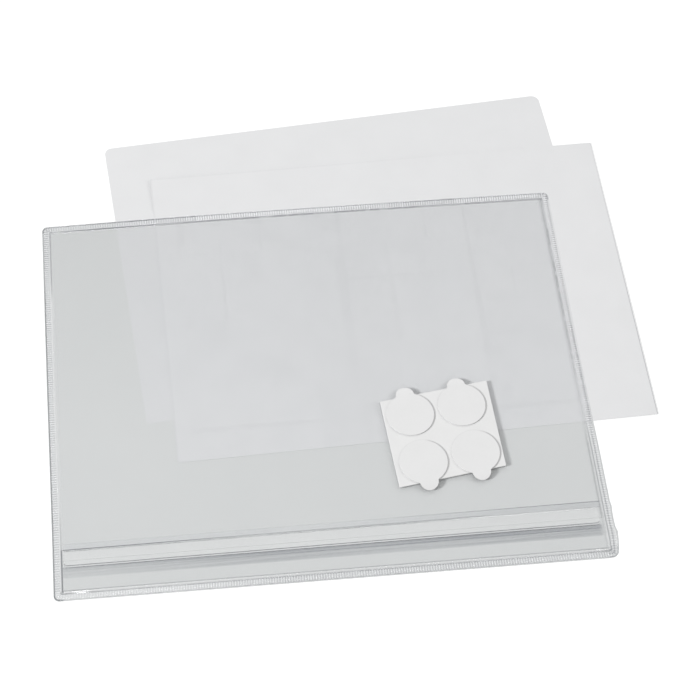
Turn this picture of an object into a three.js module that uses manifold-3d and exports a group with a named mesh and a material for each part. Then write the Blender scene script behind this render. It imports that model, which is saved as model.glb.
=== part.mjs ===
// A clear display pocket that lies flat, with a closing flap over its mouth.
// A back film and a front film are fused round their edge by a ribbed weld with a smooth inner bead.
// The front film is slit near one long side, and a narrow flap, joined above the slit, covers it.
// A small card of four round stick-on pads lies on the front film, and two blank sheets lie underneath.
// Millimetres, +Z up. The origin is under the middle of the pocket, on the surface it lies on.
// +X runs along the mouth, and +Y points away from the mouth.

import * as THREE from 'three';
import { mergeVertices } from 'three/addons/utils/BufferGeometryUtils.js';
import Module from 'manifold-3d';

const wasm = await Module();
wasm.setup();

// Pocket
const pocketWidth = 332.6;
const pocketDepth = 264.4;
const cornerRadius = 3.4;
const filmThickness = 0.25;
const cavityHeight = 0.3;

// Weld: a ribbed plate along the cut edge, a shallow groove, and a round bead against the films
const ribbedWidth = 4.1;
const grooveWidth = 0.3;
const beadWidth = 1.4;
const beadCrown = 0.15;
const plateThickness = 0.36;
const ribPitch = 1.577;
const ribHeight = 0.16;
const ribMargin = 5;
const seamClearance = 0.02;

// Mouth and closing flap, measured from the near cut edge
const mouthOffset = 25;
const mouthGap = 0.3;
const hingeOffset = 31.7;
const hingeGap = 0.4;
const hingeInset = 0.1;
const flapEndLeft = 0.9;
const flapEndRight = 3.1;
const flapDepth = 12;
const flapLift = 2.2;
const flapSeat = 0.1;
const flapCornerRadius = 1.5;
const flapWeldWidth = 4;

// Card of stick-on pads, its middle placed from the right and near cut edges
const cardWidth = 68;
const cardDepth = 59.6;
const cardThickness = 1;
const cardFromRight = 93.5;
const cardFromNear = 89.4;
const cardRowTurn = 7.6;
const cardColumnTurn = 4.1;
const padDiameter = 29.6;
const padThickness = 0.5;
const padPitchX = 32.7;
const padPitchY = 33.3;
const padGridShiftX = -0.4;
const padGridShiftY = 0.5;
const padGridTurn = 6.9;
const linerThickness = 0.15;
const tabWidth = 11.4;
const tabReach = 19.8;

// Blank sheets, each with its near left corner placed from the left and near cut edges
const sheetWidth = 297;
const sheetDepth = 210;
const sheetThickness = 0.1;
const underFromLeft = 59.9;
const underFromNear = 112.4;
const underTurn = 4.72;
const overFromLeft = 76.9;
const overFromNear = 84.9;
const overTurn = 1.46;

// Heights and edges that follow from the sizes above
const weldWidth = ribbedWidth + grooveWidth + beadWidth;
const stackHeight = 2 * filmThickness + cavityHeight;
const pocketBase = 2 * sheetThickness;
const frontBase = pocketBase + filmThickness + cavityHeight;
const frontTop = pocketBase + stackHeight;
const nearEdge = -pocketDepth / 2;
const leftEdge = -pocketWidth / 2;
const rightEdge = pocketWidth / 2;
const hingeY = nearEdge + hingeOffset;
const flapLength = pocketWidth - 2 * weldWidth - flapEndLeft - flapEndRight;
const flapShift = (flapEndLeft - flapEndRight) / 2;
const cardX = rightEdge - cardFromRight;
const cardY = nearEdge + cardFromNear;

const clearFilm = new THREE.MeshStandardMaterial({
  color: 0xdfe3e2, roughness: 0.12, metalness: 0, transparent: true, opacity: 0.35,
});
const weldedFilm = new THREE.MeshStandardMaterial({
  color: 0xd3d6d8, roughness: 0.3, metalness: 0, transparent: true, opacity: 0.6,
});
const whiteCard = new THREE.MeshStandardMaterial({ color: 0xebebeb, roughness: 0.7, metalness: 0 });
const whitePad = new THREE.MeshStandardMaterial({ color: 0xf2f2f0, roughness: 0.85, metalness: 0 });
const whiteLiner = new THREE.MeshStandardMaterial({ color: 0xededed, roughness: 0.45, metalness: 0 });
const whitePaper = new THREE.MeshStandardMaterial({ color: 0xe6e6e6, roughness: 0.9, metalness: 0 });

const turned = (degrees) => THREE.MathUtils.degToRad(degrees);

function piece(name, geometry, material) {
  const mesh = new THREE.Mesh(geometry, material);
  mesh.name = name;
  return mesh;
}

// A flat piece of one thickness, cut to an outline drawn in plan
function cutFlat(outline, thickness, curveSegments = 12) {
  return new THREE.ExtrudeGeometry(outline, { depth: thickness, bevelEnabled: false, curveSegments });
}

// A strip of one cross-section, drawn as (y, z), running along +X from x = 0
function runAlongX(section, length, curveSegments = 6) {
  const geometry = new THREE.ExtrudeGeometry(section, {
    depth: length, bevelEnabled: false, curveSegments,
  });
  const sectionToWorld = new THREE.Matrix4().makeBasis(
    new THREE.Vector3(0, 1, 0), new THREE.Vector3(0, 0, 1), new THREE.Vector3(1, 0, 0),
  );
  return geometry.applyMatrix4(sectionToWorld);
}

function rectangle(x0, y0, x1, y1) {
  const outline = new THREE.Shape();
  outline.moveTo(x0, y0);
  outline.lineTo(x1, y0);
  outline.lineTo(x1, y1);
  outline.lineTo(x0, y1);
  outline.closePath();
  return outline;
}

function roundedRectangle(width, depth, radius) {
  const x = width / 2;
  const y = depth / 2;
  const outline = new THREE.Shape();
  outline.moveTo(-x + radius, -y);
  outline.lineTo(x - radius, -y);
  outline.absarc(x - radius, -y + radius, radius, -Math.PI / 2, 0);
  outline.lineTo(x, y - radius);
  outline.absarc(x - radius, y - radius, radius, 0, Math.PI / 2);
  outline.lineTo(-x + radius, y);
  outline.absarc(-x + radius, y - radius, radius, Math.PI / 2, Math.PI);
  outline.lineTo(-x, -y + radius);
  outline.absarc(-x + radius, -y + radius, radius, Math.PI, 1.5 * Math.PI);
  outline.closePath();
  return outline;
}

function toSolid(geometry) {
  const bare = new THREE.BufferGeometry();
  bare.setAttribute('position', geometry.getAttribute('position').clone());
  if (geometry.index) {
    bare.setIndex(geometry.index.clone());
  }
  const welded = mergeVertices(bare, 1e-5);
  return new wasm.Manifold(new wasm.Mesh({
    numProp: 3,
    vertProperties: new Float32Array(welded.getAttribute('position').array),
    triVerts: new Uint32Array(welded.index.array),
  }));
}

function toGeometry(solid) {
  const mesh = solid.getMesh();
  const geometry = new THREE.BufferGeometry();
  geometry.setAttribute('position', new THREE.BufferAttribute(mesh.vertProperties, 3));
  geometry.setIndex(new THREE.BufferAttribute(mesh.triVerts, 1));
  geometry.computeVertexNormals();
  return geometry;
}

// Edge weld
// Side view of the ribbed plate: flat below, with one crest and one valley to each rib above
function ribOutline(length) {
  const ribs = Math.floor((length - 2 * ribMargin) / ribPitch);
  const firstRib = (length - ribs * ribPitch) / 2;
  const outline = new THREE.Shape();
  outline.moveTo(0, 0);
  outline.lineTo(length, 0);
  outline.lineTo(length, plateThickness);
  for (let i = ribs; i > 0; i -= 1) {
    const valley = firstRib + i * ribPitch;
    outline.lineTo(valley, plateThickness);
    outline.lineTo(valley - ribPitch / 2, plateThickness + ribHeight);
  }
  outline.lineTo(firstRib, plateThickness);
  outline.lineTo(0, plateThickness);
  outline.closePath();
  return outline;
}

// The bead is flat below and on the side that meets the films, with a low crown
function beadSection() {
  const outer = weldWidth - beadWidth;
  const section = new THREE.Shape();
  section.moveTo(outer, 0);
  section.lineTo(weldWidth, 0);
  section.lineTo(weldWidth, stackHeight);
  section.quadraticCurveTo(
    weldWidth - beadWidth / 2, stackHeight + 2 * beadCrown, outer, plateThickness,
  );
  section.closePath();
  return section;
}

// One side of the weld along +X, with its cut edge at y = 0 and its bead towards +Y
function weldBar(length, beadStart, beadEnd) {
  const ribbed = new THREE.ExtrudeGeometry(ribOutline(length), { depth: ribbedWidth, bevelEnabled: false });
  ribbed.rotateX(Math.PI / 2).translate(0, ribbedWidth, 0);
  const web = new THREE.BoxGeometry(length, weldWidth, plateThickness);
  web.translate(length / 2, weldWidth / 2, plateThickness / 2);
  const bead = runAlongX(beadSection(), beadEnd - beadStart).translate(beadStart, 0, 0);
  return toSolid(ribbed).add(toSolid(web)).add(toSolid(bead));
}

function longWeld(name, turn) {
  const inset = weldWidth - beadWidth;
  const bar = weldBar(pocketWidth, inset, pocketWidth - inset);
  const placed = bar.translate([leftEdge, nearEdge, 0]);
  const blank = toSolid(cutFlat(roundedRectangle(pocketWidth, pocketDepth, cornerRadius), 2 * stackHeight));
  const mesh = piece(name, toGeometry(placed.intersect(blank)), weldedFilm);
  mesh.position.z = pocketBase;
  mesh.rotation.z = turned(turn);
  return mesh;
}

function sideWeld(name, turn) {
  const length = pocketDepth - 2 * weldWidth - 2 * seamClearance;
  const mesh = piece(name, toGeometry(weldBar(length, 0, length)), weldedFilm);
  const side = Math.sign(turn);
  mesh.rotation.z = turned(turn);
  mesh.position.set(side * pocketWidth / 2, -side * length / 2, pocketBase);
  return mesh;
}

// Films
function film(name, yLow, yHigh, base) {
  const halfWidth = pocketWidth / 2 - weldWidth - seamClearance;
  const mesh = piece(name, cutFlat(rectangle(-halfWidth, yLow, halfWidth, yHigh), filmThickness), clearFilm);
  mesh.position.z = base;
  return mesh;
}

function films() {
  const inside = pocketDepth / 2 - weldWidth - seamClearance;
  const mouth = nearEdge + mouthOffset;
  return [
    film('back_film', -inside, inside, pocketBase),
    film('lip_film', -inside, mouth, frontBase),
    film('front_film', mouth + mouthGap, inside, frontBase),
  ];
}

// Closing flap
function flapWeld() {
  const start = hingeY + hingeGap - hingeInset;
  const outline = rectangle(-flapLength / 2, start, flapLength / 2, start + flapWeldWidth);
  const mesh = piece('flap_weld', cutFlat(outline, filmThickness), weldedFilm);
  mesh.position.set(flapShift, 0, frontTop);
  return mesh;
}

// The flap springs up a little from its weld line, so its section is a shallow upward curve
function flapSection() {
  const steps = 8;
  const rise = (t) => flapSeat + flapLift * t * t;
  const run = (t) => -hingeInset - (flapDepth - hingeInset) * t;
  const section = new THREE.Shape();
  section.moveTo(run(0), rise(0));
  section.lineTo(run(0), rise(0) + filmThickness);
  for (let i = 1; i <= steps; i += 1) {
    section.lineTo(run(i / steps), rise(i / steps) + filmThickness);
  }
  for (let i = steps; i > 0; i -= 1) {
    section.lineTo(run(i / steps), rise(i / steps));
  }
  section.closePath();
  return section;
}

// Seen from above, the flap has two rounded corners on its free edge
function flapOutline() {
  const x = flapLength / 2;
  const r = flapCornerRadius;
  const outline = new THREE.Shape();
  outline.moveTo(-x, 0);
  outline.lineTo(-x, -flapDepth + r);
  outline.absarc(-x + r, -flapDepth + r, r, Math.PI, 1.5 * Math.PI);
  outline.lineTo(x - r, -flapDepth);
  outline.absarc(x - r, -flapDepth + r, r, 1.5 * Math.PI, 2 * Math.PI);
  outline.lineTo(x, 0);
  outline.closePath();
  return outline;
}

function flap() {
  const strip = toSolid(runAlongX(flapSection(), flapLength).translate(-flapLength / 2, 0, 0));
  const blank = toSolid(cutFlat(flapOutline(), flapSeat + flapLift + 2 * filmThickness, 4));
  const mesh = piece('flap', toGeometry(strip.intersect(blank)), clearFilm);
  mesh.position.set(flapShift, hingeY, frontTop);
  return mesh;
}

// Card of pads
// The card is cut a little out of square, so its rows and its columns have their own turns
function cardOutline() {
  const row = new THREE.Vector2(cardWidth / 2, 0).rotateAround(new THREE.Vector2(), turned(cardRowTurn));
  const column = new THREE.Vector2(0, cardDepth / 2).rotateAround(new THREE.Vector2(), turned(cardColumnTurn));
  const corners = [[-1, -1], [1, -1], [1, 1], [-1, 1]].map(
    ([across, along]) => row.clone().multiplyScalar(across).addScaledVector(column, along),
  );
  return new THREE.Shape(corners);
}

function padCard() {
  const mesh = piece('pad_card', cutFlat(cardOutline(), cardThickness), whiteCard);
  mesh.position.set(cardX, cardY, frontTop);
  return mesh;
}

// A liner is a disc with a round-ended tab towards +Y
function linerOutline() {
  const radius = padDiameter / 2;
  const half = tabWidth / 2;
  const meet = Math.acos(half / radius);
  const outline = new THREE.Shape();
  outline.absarc(0, 0, radius, Math.PI - meet, 2 * Math.PI + meet);
  outline.lineTo(half, tabReach - half);
  outline.absarc(0, tabReach - half, half, 0, Math.PI);
  outline.closePath();
  return outline;
}

function padDisc() {
  const outline = new THREE.Shape();
  outline.absarc(0, 0, padDiameter / 2, 0, 2 * Math.PI);
  return outline;
}

// Two rows of two: the tabs of the far row point away from the mouth, those of the near row towards it
function padsAndLiners() {
  const meshes = [];
  const padBase = frontTop + cardThickness;
  const grid = [[-1, 1], [1, 1], [-1, -1], [1, -1]];
  grid.forEach(([across, along], i) => {
    const place = new THREE.Vector2(across * padPitchX / 2, along * padPitchY / 2);
    place.rotateAround(new THREE.Vector2(), turned(padGridTurn));
    const pad = piece(`adhesive_pad_${i + 1}`, cutFlat(padDisc(), padThickness, 40), whitePad);
    pad.position.set(cardX + padGridShiftX + place.x, cardY + padGridShiftY + place.y, padBase);
    const liner = piece(`pad_liner_${i + 1}`, cutFlat(linerOutline(), linerThickness, 32), whiteLiner);
    liner.position.set(pad.position.x, pad.position.y, padBase + padThickness);
    liner.rotation.z = turned(padGridTurn) + (along > 0 ? 0 : Math.PI);
    meshes.push(pad, liner);
  });
  return meshes;
}

function sheet(name, fromLeft, fromNear, turn, base) {
  const mesh = piece(name, cutFlat(rectangle(0, 0, sheetWidth, sheetDepth), sheetThickness), whitePaper);
  mesh.position.set(leftEdge + fromLeft, nearEdge + fromNear, base);
  mesh.rotation.z = turned(turn);
  return mesh;
}

const group = new THREE.Group();
group.add(...films());
group.add(longWeld('edge_weld_near', 0), longWeld('edge_weld_far', 180));
group.add(sideWeld('edge_weld_right', 90), sideWeld('edge_weld_left', -90));
group.add(flapWeld(), flap());
group.add(padCard(), ...padsAndLiners());
group.add(sheet('insert_sheet_under', underFromLeft, underFromNear, underTurn, 0));
group.add(sheet('insert_sheet_over', overFromLeft, overFromNear, overTurn, sheetThickness));

export default group;
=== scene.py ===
# %% [markdown]
# # A clear display pocket with its pads and blank sheets
# The pocket is two clear soft films fused round their edge. The fused edge is a flat ribbed
# band with a smooth bead inside it. A narrow flap closes the slit in the front film. A card of
# four round stick-on pads lies on top, and two blank sheets lie underneath.
# The pocket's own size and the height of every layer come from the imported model, so that each
# piece lands where it belongs. Sizes of the pieces are written in millimetres. The camera, the
# lamps, the floor and an object's own axes in a material are in metres.

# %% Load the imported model
import math

import bmesh
import bpy
from mathutils import Matrix, Vector


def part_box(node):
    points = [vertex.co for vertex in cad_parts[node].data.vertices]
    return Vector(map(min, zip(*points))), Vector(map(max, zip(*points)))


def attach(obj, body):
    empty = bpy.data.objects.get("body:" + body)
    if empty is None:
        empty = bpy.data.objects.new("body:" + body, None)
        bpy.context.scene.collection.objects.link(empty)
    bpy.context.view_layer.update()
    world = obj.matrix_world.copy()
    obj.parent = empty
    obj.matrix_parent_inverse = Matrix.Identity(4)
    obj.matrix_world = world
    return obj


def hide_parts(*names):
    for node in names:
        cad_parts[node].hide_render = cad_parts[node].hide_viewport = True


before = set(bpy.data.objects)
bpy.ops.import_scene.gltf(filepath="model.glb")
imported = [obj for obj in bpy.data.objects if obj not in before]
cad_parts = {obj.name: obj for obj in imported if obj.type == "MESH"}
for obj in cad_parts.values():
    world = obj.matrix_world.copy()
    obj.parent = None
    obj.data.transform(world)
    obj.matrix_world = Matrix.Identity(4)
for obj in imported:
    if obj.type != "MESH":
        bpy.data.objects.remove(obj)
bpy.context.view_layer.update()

MM = 0.001

# %% [markdown]
# ## Camera
# The camera stands on the near side of the set and looks down at it. Its place was fitted to
# the corners of the sheets, which were taken as A4, 297 x 210 mm. A long lens keeps the sides of
# the pocket nearly parallel, and the small roll tips the whole view a little.

# %% Camera
CAMERA_PLACE = Vector((-0.07959, -0.56874, 0.99718))
CAMERA_AIM = Vector((0.02253, 0.02202, 0.0))
CAMERA_ROLL = math.radians(4.198)

camera_data = bpy.data.cameras.new("camera")
camera_data.lens = 95.6
camera_data.sensor_width = 36.0
camera_data.clip_start = 0.01
camera = bpy.data.objects.new("camera", camera_data)
bpy.context.collection.objects.link(camera)
gaze = (CAMERA_AIM - CAMERA_PLACE).to_track_quat("-Z", "Y").to_matrix()
camera.matrix_world = Matrix.Translation(CAMERA_PLACE) @ (
    gaze @ Matrix.Rotation(CAMERA_ROLL, 3, "Z")
).to_4x4()
bpy.context.scene.camera = camera
print("camera stands", round((CAMERA_AIM - CAMERA_PLACE).length, 3), "m away")

# %% [markdown]
# ## Light
# Clear film shows mostly by its gloss and by the shadows under it. A pale world gives an even
# veil. A lamp on the left throws the crisp shadows of the card to the right, and a wide lamp on
# the right fills them and throws a soft one to the left. Two wide lamps stand behind the set.
# Only what tilts towards them mirrors them: the sprung flap mirrors the upper one, and the
# flattened ends of the near bead mirror the low strip. Together the world and all four lamps
# light a level surface just enough for a colour to render as it is written.

# %% World and lamps
scene = bpy.context.scene
scene.view_settings.view_transform = "Standard"

AMBIENT = 0.44
world = bpy.data.worlds.new("studio")
scene.world = world
world.use_nodes = True
sky = world.node_tree.nodes["Background"]
sky.inputs["Color"].default_value = (1.0, 1.0, 1.0, 1.0)
path_seen = world.node_tree.nodes.new("ShaderNodeLightPath")
brightness = world.node_tree.nodes.new("ShaderNodeMapRange")
brightness.inputs["To Min"].default_value = AMBIENT
brightness.inputs["To Max"].default_value = 1.0
world.node_tree.links.new(path_seen.outputs["Is Camera Ray"], brightness.inputs["Value"])
world.node_tree.links.new(brightness.outputs["Result"], sky.inputs["Strength"])


def lamp(name, share, size, azimuth, elevation, distance=2.2):
    """An area lamp that adds the given share of a plain white level to what lies flat."""
    data = bpy.data.lights.new(name, "AREA")
    data.shape = "RECTANGLE"
    data.size, data.size_y = size
    data.energy = share * math.pi**2 * distance**2 / math.sin(math.radians(elevation))
    flat = Matrix.Rotation(math.radians(azimuth), 3, "Z") @ Vector((0, 1, 0))
    towards = flat * math.cos(math.radians(elevation))
    towards.z = math.sin(math.radians(elevation))
    obj = bpy.data.objects.new(name, data)
    bpy.context.collection.objects.link(obj)
    obj.matrix_world = Matrix.Translation(towards * distance) @ (
        towards.to_track_quat("Z", "Y").to_matrix().to_4x4()
    )


lamp("lamp_left", 0.4, (0.75, 0.75), azimuth=102, elevation=28, distance=4.0)
lamp("lamp_right", 0.1, (1.0, 1.0), azimuth=-84, elevation=27)
lamp("lamp_far", 0.02, (2.5, 0.8), azimuth=-4.5, elevation=45, distance=4.0)
lamp("lamp_low", 0.05, (2.7, 0.27), azimuth=-4.5, elevation=33, distance=4.0)
print("world", AMBIENT, "and four lamps")

# %% [markdown]
# ## Small tools for node trees
# Every material below is a handful of nodes. These helpers add a node and set or wire its
# inputs in one line, so that each material reads like a recipe.

# %% Node helpers
def wire(tree, start, end):
    tree.links.new(start, end)


def put(tree, value, socket):
    """Wires an output to an input, or sets the input where the value is a plain one."""
    if isinstance(value, bpy.types.NodeSocket):
        wire(tree, value, socket)
    else:
        socket.default_value = value


def add(tree, kind, **values):
    """A new node, with its inputs and properties given by name."""
    made = tree.nodes.new(kind)
    for name, value in values.items():
        socket = name.replace("_", " ")
        if socket in made.inputs:
            put(tree, value, made.inputs[socket])
        else:
            setattr(made, name, value)
    return made


def object_place(tree):
    """Where a point lies on its object's own axes, in metres."""
    return add(tree, "ShaderNodeTexCoord").outputs["Object"]


def mixed(tree, kind, factor, first, second):
    """A colour ("RGBA") or a number ("FLOAT") between two others."""
    low, high, result = (6, 7, 2) if kind == "RGBA" else (2, 3, 0)
    made = add(tree, "ShaderNodeMix", data_type=kind, Factor=factor)
    put(tree, first, made.inputs[low])
    put(tree, second, made.inputs[high])
    return made.outputs[result]


def new_material(name):
    made = bpy.data.materials.new(name)
    made.use_nodes = True
    return made, made.node_tree, made.node_tree.nodes["Principled BSDF"]


def new_group(name, takes, gives):
    """A shader node group with named sockets. Returns it, what it takes and what it gives."""
    tree = bpy.data.node_groups.new(name, "ShaderNodeTree")
    for socket, kind, value in takes:
        made = tree.interface.new_socket(socket, in_out="INPUT", socket_type=kind)
        made.default_value = value
    for socket, kind in gives:
        tree.interface.new_socket(socket, in_out="OUTPUT", socket_type=kind)
    inside = tree.nodes.new("NodeGroupInput").outputs
    return tree, inside, tree.nodes.new("NodeGroupOutput").inputs


def use_group(tree, group, **values):
    made = tree.nodes.new("ShaderNodeGroup")
    made.node_tree = group
    for name, value in values.items():
        put(tree, value, made.inputs[name.replace("_", " ")])
    return made


def cover(tree, shader, effect):
    """Feeds a shader's colour, roughness and normal from a group."""
    for start, end in (("Color", "Base Color"), ("Roughness", "Roughness"), ("Normal", "Normal")):
        wire(tree, effect.outputs[start], shader.inputs[end])


FLOAT = "NodeSocketFloat"
COLOR = "NodeSocketColor"
VECTOR = "NodeSocketVector"

# %% [markdown]
# ## Floor
# The set lies on a plain pale table in front of nothing. The floor takes light and shadow as a
# real table does. Straight from the camera it also glows a little, which lifts it to white but
# leaves the shadows on it. Through the films it is seen without that lift, because clear film
# on a table shows the table's own pale grey. Far from the set, where the lamps fade, it glows
# fully.

# %% Floor
FLOOR_TONE = (0.757, 0.767, 0.76, 1.0)
FLOOR_LIFT = 0.34
FAR_LIFT = 1.0
FAR_START = 0.8
FAR_FULL = 2.0
FLOOR_REACH = 6.0
floor_mesh = bpy.data.meshes.new("floor")
floor_mesh.from_pydata(
    [(FLOOR_REACH * i, FLOOR_REACH * j, 0) for i, j in ((-1, -1), (1, -1), (1, 1), (-1, 1))],
    [], [(0, 1, 2, 3)],
)
floor = bpy.data.objects.new("floor", floor_mesh)
bpy.context.collection.objects.link(floor)
floor_material, tree, shader = new_material("pale_floor")
shader.inputs["Base Color"].default_value = FLOOR_TONE
shader.inputs["Roughness"].default_value = 1.0
shader.inputs["Specular IOR Level"].default_value = 0.0
shader.inputs["Emission Color"].default_value = (1.0, 1.0, 1.0, 1.0)
light_path = add(tree, "ShaderNodeLightPath")
far_away = add(tree, "ShaderNodeVectorMath", operation="LENGTH", Vector=object_place(tree))
glow = add(
    tree, "ShaderNodeMapRange", Value=far_away.outputs["Value"], From_Min=FAR_START,
    From_Max=FAR_FULL, To_Min=FLOOR_LIFT, To_Max=FAR_LIFT,
)
lift = add(tree, "ShaderNodeMath", operation="MULTIPLY", Value=light_path.outputs["Is Camera Ray"])
wire(tree, glow.outputs["Result"], lift.inputs[1])
wire(tree, lift.outputs[0], shader.inputs["Emission Strength"])
floor_mesh.materials.append(floor_material)
print("floor tone", FLOOR_TONE, "lifted by", FLOOR_LIFT, "where it is seen directly")

# %% [markdown]
# ## Places
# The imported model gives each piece's box. The pocket's width, the height of each layer and the
# line where the flap bends are all read from it.

# %% Places read from the model
def span(node):
    """A node's lowest and highest corner, in millimetres."""
    low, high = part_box(node)
    return low / MM, high / MM


near_low, near_high = span("edge_weld_near")
far_high = span("edge_weld_far")[1]
back_high = span("back_film")[1]
joint_low, joint_high = span("flap_weld")
flap_low, flap_high = span("flap")
HALF_X = near_high.x
HALF_Y = far_high.y
WELD = HALF_X - back_high.x
BASE = near_low.z
NEAR_KEEP = -joint_low.y
print(f"pocket {2 * HALF_X:.1f} x {2 * HALF_Y:.1f} mm, weld {WELD:.2f} mm wide")

# %% [markdown]
# ## Mesh helpers
# Two kinds of flat piece come up again and again. One is a thin sheet that may wave or curl,
# made from a grid of points with a lower copy of itself. The other is a slab cut to an outline,
# made from a few rings stacked up its edge. Both come out closed, with their faces outwards.

# %% Mesh helpers
def finish_mesh(name, points, faces, material, sharp=35, across=None):
    """A closed object from points in millimetres. Its faces are turned outwards.

    across gives each point's distance from one edge, in millimetres, for lines in the material.
    """
    mesh = bpy.data.meshes.new(name)
    mesh.from_pydata([Vector(p) * MM for p in points], [], faces)
    work = bmesh.new()
    work.from_mesh(mesh)
    bmesh.ops.recalc_face_normals(work, faces=work.faces)
    work.to_mesh(mesh)
    work.free()
    mesh.polygons.foreach_set("use_smooth", [True] * len(mesh.polygons))
    mesh.set_sharp_from_angle(angle=math.radians(sharp))
    mesh.materials.append(material)
    if across:
        mesh.attributes.new("across", "FLOAT", "POINT").data.foreach_set("value", across)
    made = bpy.data.objects.new(name, mesh)
    bpy.context.collection.objects.link(made)
    return made


def closed_sheet(name, columns, rows, top, thickness, material, depth=0.0, first_row=None):
    """A thin closed sheet. top(u, v) gives its upper face, with u and v from 0 to 1.

    depth is its width in v, for the distances. first_row is another thickness where v is 0.
    """
    upper = [top(i / columns, j / rows) for j in range(rows + 1) for i in range(columns + 1)]
    edge = thickness if first_row is None else first_row
    points = upper + [
        (x, y, z - (edge if i <= columns else thickness)) for i, (x, y, z) in enumerate(upper)
    ]
    under = len(upper)
    wide = columns + 1
    faces = []
    for j in range(rows):
        for i in range(columns):
            a = j * wide + i
            faces.append((a, a + 1, a + wide + 1, a + wide))
            faces.append((under + a + wide, under + a + wide + 1, under + a + 1, under + a))
    rim = list(range(wide))
    rim += [j * wide + columns for j in range(1, rows + 1)]
    rim += [rows * wide + i for i in range(columns - 1, -1, -1)]
    rim += [j * wide for j in range(rows - 1, 0, -1)]
    for a, b in zip(rim, rim[1:] + rim[:1]):
        faces.append((a, under + a, under + b, b))
    across = [depth * j / rows for j in range(rows + 1) for i in range(wide)] * 2
    return finish_mesh(name, points, faces, material, across=across)


def stacked_slab(name, outline, rings, material):
    """A closed slab. rings are (inset, height) pairs from the bottom edge to the top edge."""
    count = len(outline)
    inward = []
    for i in range(count):
        before = Vector(outline[i - 1])
        after = Vector(outline[(i + 1) % count])
        heading = (after - before).normalized()
        inward.append(Vector((-heading.y, heading.x)))
    points = []
    for inset, height in rings:
        for corner, normal in zip(outline, inward):
            spot = Vector(corner) + normal * inset
            points.append((spot.x, spot.y, height))
    faces = [tuple(range(count))[::-1], tuple(len(points) - count + i for i in range(count))]
    for ring in range(len(rings) - 1):
        for i in range(count):
            j = (i + 1) % count
            low = ring * count
            faces.append((low + i, low + j, low + count + j, low + count + i))
    return finish_mesh(name, points, faces, material)


def turn(x, y, degrees):
    angle = math.radians(degrees)
    return (
        x * math.cos(angle) - y * math.sin(angle),
        x * math.sin(angle) + y * math.cos(angle),
    )


def fade(value, start, end):
    """0 before the start, 1 after the end and a straight line between."""
    return min(max((value - start) / (end - start), 0.0), 1.0)


def hump(value, start, full, falling, end):
    """Rises from 0 to 1 between the first two places and falls again between the last two."""
    return fade(value, start, full) * fade(value, end, falling)


# How far the two sides drift inwards or outwards along the pocket, as (y, x shift) pairs
LEFT_DRIFT = ((-132, 0.6), (-90, 0.7), (-50, 0.55), (0, 0.3), (50, 0.2), (132, 0.15))
RIGHT_DRIFT = (
    (-132, -0.1), (-128, 0.0), (-121, 0.5), (-95, 0.35), (-60, 0.25), (-40, 0.0),
    (-10, -0.25), (132, -0.25),
)

# The far side bows out in its middle and drops back towards its left and right ends. The near
# side is shifted outwards and turned. The right side's drift is kept close to that side by its
# high power.
FAR_BOW = 0.08
FAR_DROP_LEFT = 1.7
FAR_DROP_RIGHT = 0.6
NEAR_SHIFT = 0.35
NEAR_SKEW = 1.05
RIGHT_POWER = 12


def drift(table, y):
    """The table's value at y, on straight lines between its points."""
    for (y0, shift0), (y1, shift1) in zip(table, table[1:]):
        if y <= y1:
            return shift0 + (shift1 - shift0) * fade(y, y0, y1)
    return table[-1][1]


def settle(x, y):
    """Where a point of the pocket really lies. Soft film doesn't stay quite square: the near
    side is a little skewed, the far side bows and the two other sides drift."""
    near = max(-y - NEAR_KEEP, 0.0) / (HALF_Y - NEAR_KEEP)
    far = max(y, 0.0) / HALF_Y
    across = x / HALF_X
    bow = FAR_BOW - (FAR_DROP_LEFT if x < 0 else FAR_DROP_RIGHT) * across**2
    left = drift(LEFT_DRIFT, y) * max(-across, 0.0)
    right = drift(RIGHT_DRIFT, y) * max(across, 0.0) ** RIGHT_POWER
    return x + left + right, y - near * (NEAR_SHIFT + NEAR_SKEW * across) + far * bow


# %% [markdown]
# ## Film clouding
# Soft clear film is never quite even. It has broad clouds of slightly different tint, and a
# ripple too low to see except in the gloss. Both come from noise, and they are built once as a
# node group that each film uses with its own values. One more input greys the film towards the
# far side, a painted shade for the veil of gloss that fades there.

# %% Film clouding group
clouding, takes, gives = new_group(
    "film_clouding",
    [
        ("Tint", COLOR, (0.95, 0.96, 0.96, 1.0)),
        ("Cloud Tint", COLOR, (0.93, 0.94, 0.94, 1.0)),
        ("Cloud Scale", FLOAT, 12.0),
        ("Roughness Low", FLOAT, 0.03),
        ("Roughness High", FLOAT, 0.1),
        ("Ripple Scale", FLOAT, 90.0),
        ("Ripple Strength", FLOAT, 0.1),
        ("Far Shade", FLOAT, 0.0),
    ],
    [("Color", COLOR), ("Roughness", FLOAT), ("Normal", VECTOR)],
)
place = object_place(clouding)
clouds = add(
    clouding, "ShaderNodeTexNoise", Vector=place, Scale=takes["Cloud Scale"], Detail=3.0,
    Roughness=0.55,
)
ripple = add(
    clouding, "ShaderNodeTexNoise", Vector=place, Scale=takes["Ripple Scale"], Detail=2.0,
    Roughness=0.5,
)
mask = add(
    clouding, "ShaderNodeMapRange", Value=clouds.outputs["Fac"], From_Min=0.35, From_Max=0.65
).outputs["Result"]
tone = mixed(clouding, "RGBA", mask, takes["Tint"], takes["Cloud Tint"])
rough = mixed(clouding, "FLOAT", mask, takes["Roughness Low"], takes["Roughness High"])
bump = add(
    clouding, "ShaderNodeBump", Distance=0.0002, Strength=takes["Ripple Strength"],
    Height=ripple.outputs["Fac"],
)
# Painted shade: the tint darkens towards the far side, where the film's veil of gloss fades.
axes = add(clouding, "ShaderNodeSeparateXYZ", Vector=place)
far_side = add(
    clouding, "ShaderNodeMapRange", Value=axes.outputs["Y"], From_Min=-0.03, From_Max=0.125,
    To_Max=takes["Far Shade"],
)
shaded = mixed(clouding, "RGBA", far_side.outputs["Result"], tone, (0.0, 0.0, 0.0, 1.0))
wire(clouding, shaded, gives["Color"])
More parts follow.
